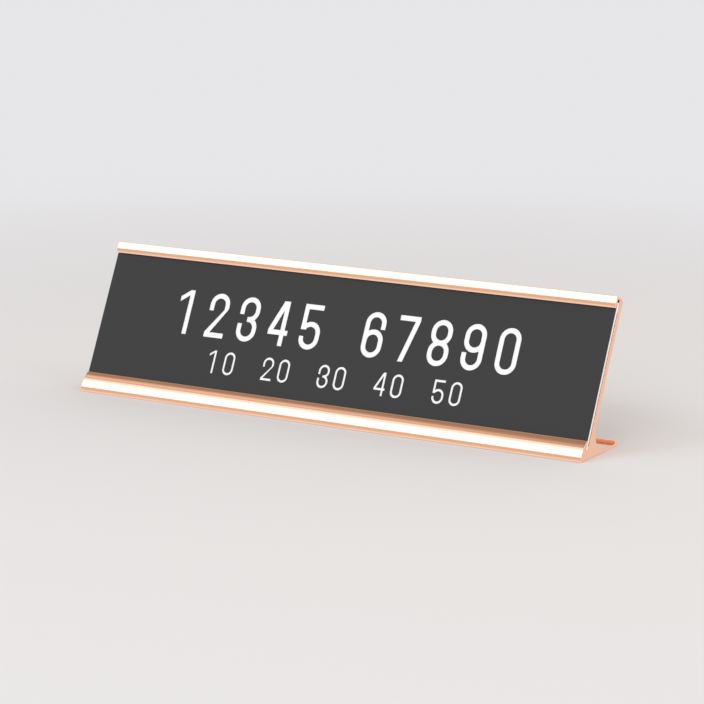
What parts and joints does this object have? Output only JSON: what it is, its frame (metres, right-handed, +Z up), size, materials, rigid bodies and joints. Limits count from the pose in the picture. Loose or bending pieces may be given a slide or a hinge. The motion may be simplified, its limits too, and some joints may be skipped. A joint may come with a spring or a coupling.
{
  "type": "desk name plate",
  "caption": "Leaning desk name plate: an extruded metal holder with a channel along its foot and a hook along its top, and a dark-faced insert that slides in and out of either end.",
  "frame": {"origin": "under the middle of the whole part, on the desk that the grip pads stand on", "axes": "+X along the plate to the reader's right, +Y to the back, +Z up"},
  "size_m": [0.254, 0.0368, 0.0645],
  "materials": {
    "rose_gold_aluminium": "bright rose gold anodised, saw-cut ends",
    "white_core": "white sheet, cut edges",
    "charcoal_face": "fine satin charcoal",
    "grip_rubber": "matt moulded rubber"
  },
  "bodies": {
    "holder_body": {"holder": "rose_gold_aluminium", "grip_pad_front_left": "grip_rubber", "grip_pad_front_right": "grip_rubber", "grip_pad_rear_left": "grip_rubber", "grip_pad_rear_right": "grip_rubber"},
    "insert_body": {"insert_core": "white_core", "insert_face": "charcoal_face"}
  },
  "joints": [
    {"name": "insert_slide", "type": "slide", "parent": "holder_body", "child": "insert_body", "axis": [1, 0, 0], "range_m": [-0.26, 0.26]}
  ]
}
